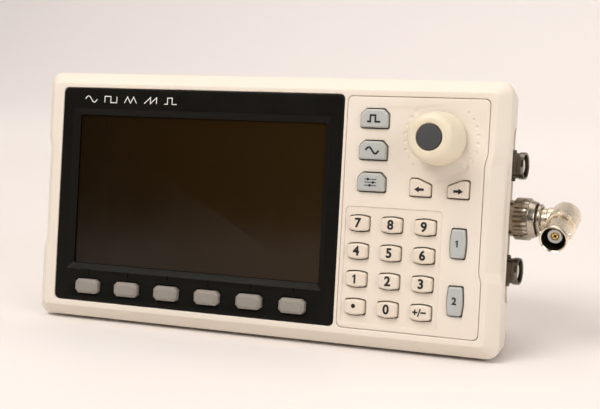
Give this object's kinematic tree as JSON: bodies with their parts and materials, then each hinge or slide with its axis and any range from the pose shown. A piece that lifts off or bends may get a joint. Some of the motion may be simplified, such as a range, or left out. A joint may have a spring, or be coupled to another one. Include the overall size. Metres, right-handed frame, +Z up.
{
  "type": "function generator",
  "caption": "Bench function generator with a leaning front, dark display, keypad, rotary knob and coaxial jacks on its side, one with a right-angle adapter.",
  "frame": {"origin": "centre of the footprint's bounding box, on the surface the feet stand on", "axes": "+X to the right along the front, +Y from the front to the back, +Z up"},
  "size_m": [0.1932, 0.0652, 0.0895],
  "materials": {
    "case_cream": "fine moulded texture, warm cream",
    "bezel_black": "satin black, moulded",
    "window_dark": "clear polished sheet over a dark display",
    "key_grey": "satin grey rubber-like plastic",
    "key_blue_grey": "translucent blue-grey, satin",
    "key_cream": "satin cream",
    "knob_ivory": "smooth ivory",
    "knob_grey": "satin dark grey",
    "nickel_plate": "bright nickel plate, turned",
    "white_insulator": "smooth white",
    "gold_plate": "gold-plated contact",
    "steel_plate": "plated sheet metal",
    "foot_rubber": "matt black rubber",
    "mat_rubber": "matt grey silicone",
    "circuit_board": "green solder mask"
  },
  "bodies": {
    "case": {"front_shell": "case_cream", "rear_shell": "case_cream", "key_panel": "case_cream", "display_bezel": "bezel_black", "display_window": "window_dark", "lcd_module": "steel_plate", "front_foot": "foot_rubber", "rear_foot": "foot_rubber", "keypad_mat": "mat_rubber", "soft_key_mat": "mat_rubber", "key_board": "circuit_board", "main_board": "circuit_board", "encoder_housing": "steel_plate", "supply_jack": "bezel_black", "usb_port": "steel_plate", "jack_1_shell": "nickel_plate", "jack_1_insulator": "white_insulator", "jack_1_contact": "gold_plate", "jack_2_shell": "nickel_plate", "jack_2_insulator": "white_insulator", "jack_2_contact": "gold_plate", "jack_3_shell": "nickel_plate", "jack_3_insulator": "white_insulator", "jack_3_contact": "gold_plate"},
    "soft_key_1": {"soft_key_1": "key_grey"},
    "soft_key_2": {"soft_key_2": "key_grey"},
    "soft_key_3": {"soft_key_3": "key_grey"},
    "soft_key_4": {"soft_key_4": "key_grey"},
    "soft_key_5": {"soft_key_5": "key_grey"},
    "soft_key_6": {"soft_key_6": "key_grey"},
    "pulse_key": {"pulse_key": "key_blue_grey"},
    "wave_key": {"wave_key": "key_blue_grey"},
    "setup_key": {"setup_key": "key_blue_grey"},
    "left_arrow_key": {"left_arrow_key": "key_cream"},
    "right_arrow_key": {"right_arrow_key": "key_cream"},
    "number_key_7": {"number_key_7": "key_cream"},
    "number_key_8": {"number_key_8": "key_cream"},
    "number_key_9": {"number_key_9": "key_cream"},
    "number_key_4": {"number_key_4": "key_cream"},
    "number_key_5": {"number_key_5": "key_cream"},
    "number_key_6": {"number_key_6": "key_cream"},
    "number_key_1": {"number_key_1": "key_cream"},
    "number_key_2": {"number_key_2": "key_cream"},
    "number_key_3": {"number_key_3": "key_cream"},
    "number_key_point": {"number_key_point": "key_cream"},
    "number_key_0": {"number_key_0": "key_cream"},
    "number_key_sign": {"number_key_sign": "key_cream"},
    "channel_key_1": {"channel_key_1": "key_blue_grey"},
    "channel_key_2": {"channel_key_2": "key_blue_grey"},
    "knob_plunger": {"encoder_plunger": "knob_grey"},
    "knob": {"knob": "knob_ivory", "knob_cap": "knob_grey", "encoder_shaft": "steel_plate"},
    "adapter_carrier": {"adapter_carrier": "nickel_plate"},
    "adapter_nut": {"adapter_nut": "nickel_plate"},
    "adapter_elbow": {"adapter_elbow": "nickel_plate", "adapter_insulator": "white_insulator", "adapter_contact": "gold_plate", "adapter_pin": "gold_plate"},
    "power_button": {"power_button": "key_grey"}
  },
  "joints": [
    {"name": "soft_key_1_press", "type": "slide", "parent": "case", "child": "soft_key_1", "axis": [0, 0.991, -0.134], "range_m": [0, 0.001], "stiffness_N_per_m": 300},
    {"name": "soft_key_2_press", "type": "slide", "parent": "case", "child": "soft_key_2", "axis": [0, 0.991, -0.134], "range_m": [0, 0.001], "stiffness_N_per_m": 300},
    {"name": "soft_key_3_press", "type": "slide", "parent": "case", "child": "soft_key_3", "axis": [0, 0.991, -0.134], "range_m": [0, 0.001], "stiffness_N_per_m": 300},
    {"name": "soft_key_4_press", "type": "slide", "parent": "case", "child": "soft_key_4", "axis": [0, 0.991, -0.134], "range_m": [0, 0.001], "stiffness_N_per_m": 300},
    {"name": "soft_key_5_press", "type": "slide", "parent": "case", "child": "soft_key_5", "axis": [0, 0.991, -0.134], "range_m": [0, 0.001], "stiffness_N_per_m": 300},
    {"name": "soft_key_6_press", "type": "slide", "parent": "case", "child": "soft_key_6", "axis": [0, 0.991, -0.134], "range_m": [0, 0.001], "stiffness_N_per_m": 300},
    {"name": "pulse_key_press", "type": "slide", "parent": "case", "child": "pulse_key", "axis": [0, 0.991, -0.134], "range_m": [0, 0.001], "stiffness_N_per_m": 300},
    {"name": "wave_key_press", "type": "slide", "parent": "case", "child": "wave_key", "axis": [0, 0.991, -0.134], "range_m": [0, 0.001], "stiffness_N_per_m": 300},
    {"name": "setup_key_press", "type": "slide", "parent": "case", "child": "setup_key", "axis": [0, 0.991, -0.134], "range_m": [0, 0.001], "stiffness_N_per_m": 300},
    {"name": "left_arrow_key_press", "type": "slide", "parent": "case", "child": "left_arrow_key", "axis": [0, 0.991, -0.134], "range_m": [0, 0.001], "stiffness_N_per_m": 300},
    {"name": "right_arrow_key_press", "type": "slide", "parent": "case", "child": "right_arrow_key", "axis": [0, 0.991, -0.134], "range_m": [0, 0.001], "stiffness_N_per_m": 300},
    {"name": "number_key_7_press", "type": "slide", "parent": "case", "child": "number_key_7", "axis": [0, 0.991, -0.134], "range_m": [0, 0.001], "stiffness_N_per_m": 300},
    {"name": "number_key_8_press", "type": "slide", "parent": "case", "child": "number_key_8", "axis": [0, 0.991, -0.134], "range_m": [0, 0.001], "stiffness_N_per_m": 300},
    {"name": "number_key_9_press", "type": "slide", "parent": "case", "child": "number_key_9", "axis": [0, 0.991, -0.134], "range_m": [0, 0.001], "stiffness_N_per_m": 300},
    {"name": "number_key_4_press", "type": "slide", "parent": "case", "child": "number_key_4", "axis": [0, 0.991, -0.134], "range_m": [0, 0.001], "stiffness_N_per_m": 300},
    {"name": "number_key_5_press", "type": "slide", "parent": "case", "child": "number_key_5", "axis": [0, 0.991, -0.134], "range_m": [0, 0.001], "stiffness_N_per_m": 300},
    {"name": "number_key_6_press", "type": "slide", "parent": "case", "child": "number_key_6", "axis": [0, 0.991, -0.134], "range_m": [0, 0.001], "stiffness_N_per_m": 300},
    {"name": "number_key_1_press", "type": "slide", "parent": "case", "child": "number_key_1", "axis": [0, 0.991, -0.134], "range_m": [0, 0.001], "stiffness_N_per_m": 300},
    {"name": "number_key_2_press", "type": "slide", "parent": "case", "child": "number_key_2", "axis": [0, 0.991, -0.134], "range_m": [0, 0.001], "stiffness_N_per_m": 300},
    {"name": "number_key_3_press", "type": "slide", "parent": "case", "child": "number_key_3", "axis": [0, 0.991, -0.134], "range_m": [0, 0.001], "stiffness_N_per_m": 300},
    {"name": "number_key_point_press", "type": "slide", "parent": "case", "child": "number_key_point", "axis": [0, 0.991, -0.134], "range_m": [0, 0.001], "stiffness_N_per_m": 300},
    {"name": "number_key_0_press", "type": "slide", "parent": "case", "child": "number_key_0", "axis": [0, 0.991, -0.134], "range_m": [0, 0.001], "stiffness_N_per_m": 300},
    {"name": "number_key_sign_press", "type": "slide", "parent": "case", "child": "number_key_sign", "axis": [0, 0.991, -0.134], "range_m": [0, 0.001], "stiffness_N_per_m": 300},
    {"name": "channel_key_1_press", "type": "slide", "parent": "case", "child": "channel_key_1", "axis": [0, 0.991, -0.134], "range_m": [0, 0.001], "stiffness_N_per_m": 300},
    {"name": "channel_key_2_press", "type": "slide", "parent": "case", "child": "channel_key_2", "axis": [0, 0.991, -0.134], "range_m": [0, 0.001], "stiffness_N_per_m": 300},
    {"name": "knob_push", "type": "slide", "parent": "case", "child": "knob_plunger", "axis": [0, 0.991, -0.134], "range_m": [0, 0.0005], "stiffness_N_per_m": 1000},
    {"name": "knob_turn", "type": "hinge", "parent": "knob_plunger", "child": "knob", "pos_m": [0.0564, -0.02468, 0.07211], "axis": [0, -0.991, 0.134], "continuous": true},
    {"name": "adapter_pull", "type": "slide", "parent": "case", "child": "adapter_carrier", "axis": [1, 0, 0], "range_m": [0, 0.012]},
    {"name": "nut_turn", "type": "hinge", "parent": "adapter_carrier", "child": "adapter_nut", "pos_m": [0.078, 0.00566, 0.04278], "axis": [1, 0, 0], "range_deg": [0, 90]},
    {"name": "elbow_turn", "type": "hinge", "parent": "adapter_carrier", "child": "adapter_elbow", "pos_m": [0.087, 0.00566, 0.04278], "axis": [1, 0, 0], "continuous": true},
    {"name": "power_press", "type": "slide", "parent": "case", "child": "power_button", "axis": [1, 0, 0], "range_m": [0, 0.0015], "stiffness_N_per_m": 300}
  ]
}
